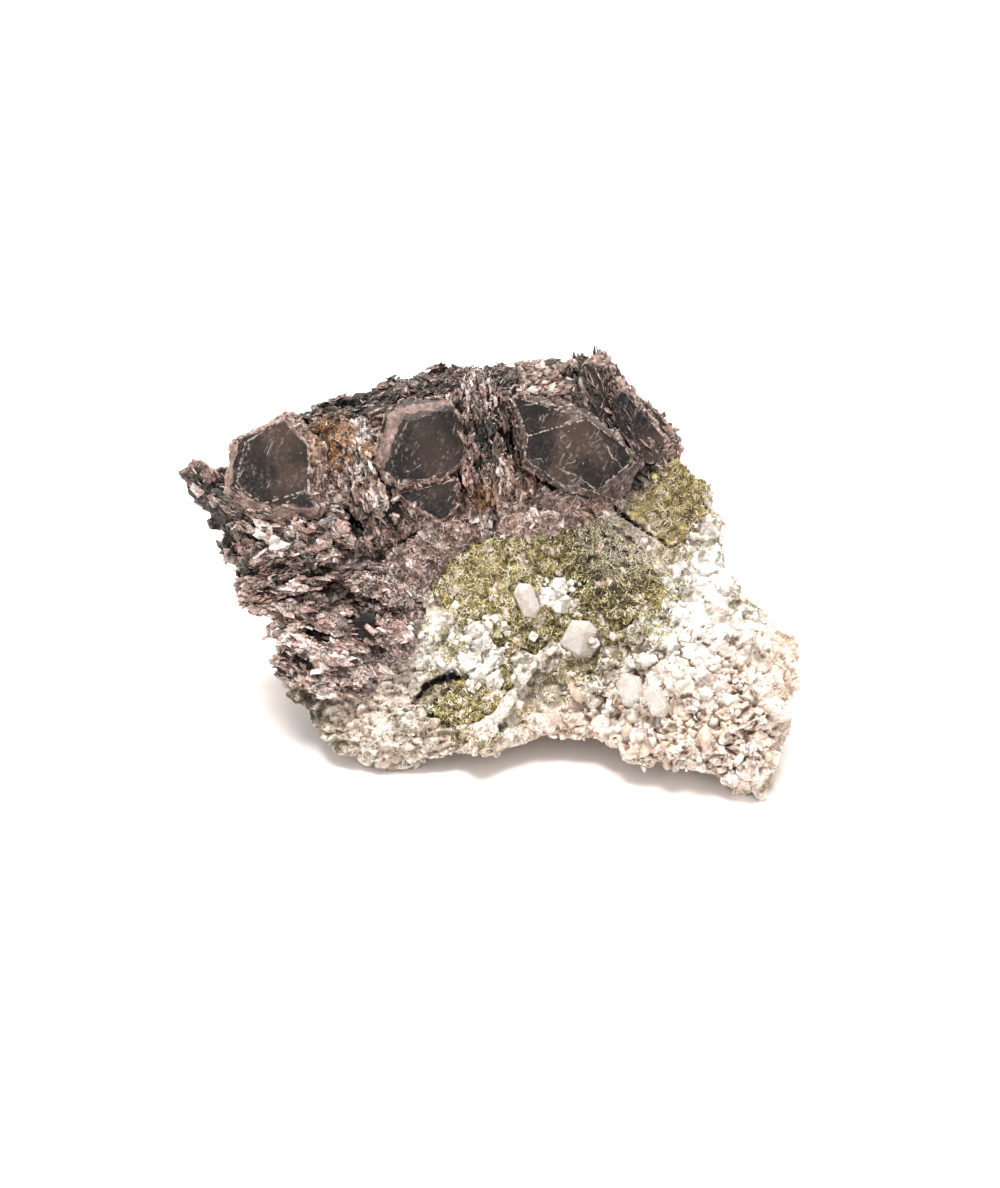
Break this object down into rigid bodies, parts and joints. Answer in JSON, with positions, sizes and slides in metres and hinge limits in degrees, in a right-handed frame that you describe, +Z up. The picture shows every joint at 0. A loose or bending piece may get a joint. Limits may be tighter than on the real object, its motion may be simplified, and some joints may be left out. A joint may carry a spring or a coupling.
{
  "type": "axinite on matrix",
  "caption": "Mineral hand specimen: dark bladed crystals over a pale granular rock, with olive crusts and small clear and white crystals, resting on its uneven base.",
  "frame": {"origin": "on the ground, under the middle of the specimen's box", "axes": "+Z up from the ground, +X to the viewer's right along the specimen's length, and -Y towards the viewer, where the display face looks forward and up"},
  "size_m": [0.11, 0.0634, 0.0634],
  "materials": {
    "matrix": "granular white to pinkish beige albite rock, matt",
    "axinite_mass": "stacked pinkish brown lamellae with white sparkle and dark gaps",
    "axinite": "dark clove-brown crystal faces, glossy, finely scratched",
    "epidote": "olive granular crust with darker and yellow specks, matt",
    "quartz": "clear to milky crystal, glossy",
    "adularia": "snow-white small crystals, satin"
  },
  "bodies": {
    "root": {"matrix": "matrix", "axinite_mass": "axinite_mass", "axinite_crystal_left": "axinite", "axinite_crystal_middle": "axinite", "axinite_crystal_right": "axinite", "axinite_crystals_top": "axinite", "axinite_crystals_far_right": "axinite", "epidote_crust_centre": "epidote", "epidote_crust_lower": "epidote", "epidote_crust_right": "epidote", "quartz_crystal_upper": "quartz", "quartz_crystal_middle": "quartz", "quartz_crystal_lower_left": "quartz", "quartz_crystal_lower_right": "quartz", "adularia_cluster_upper": "adularia", "adularia_cluster_left": "adularia", "adularia_cluster_lower": "adularia"}
  },
  "joints": []
}
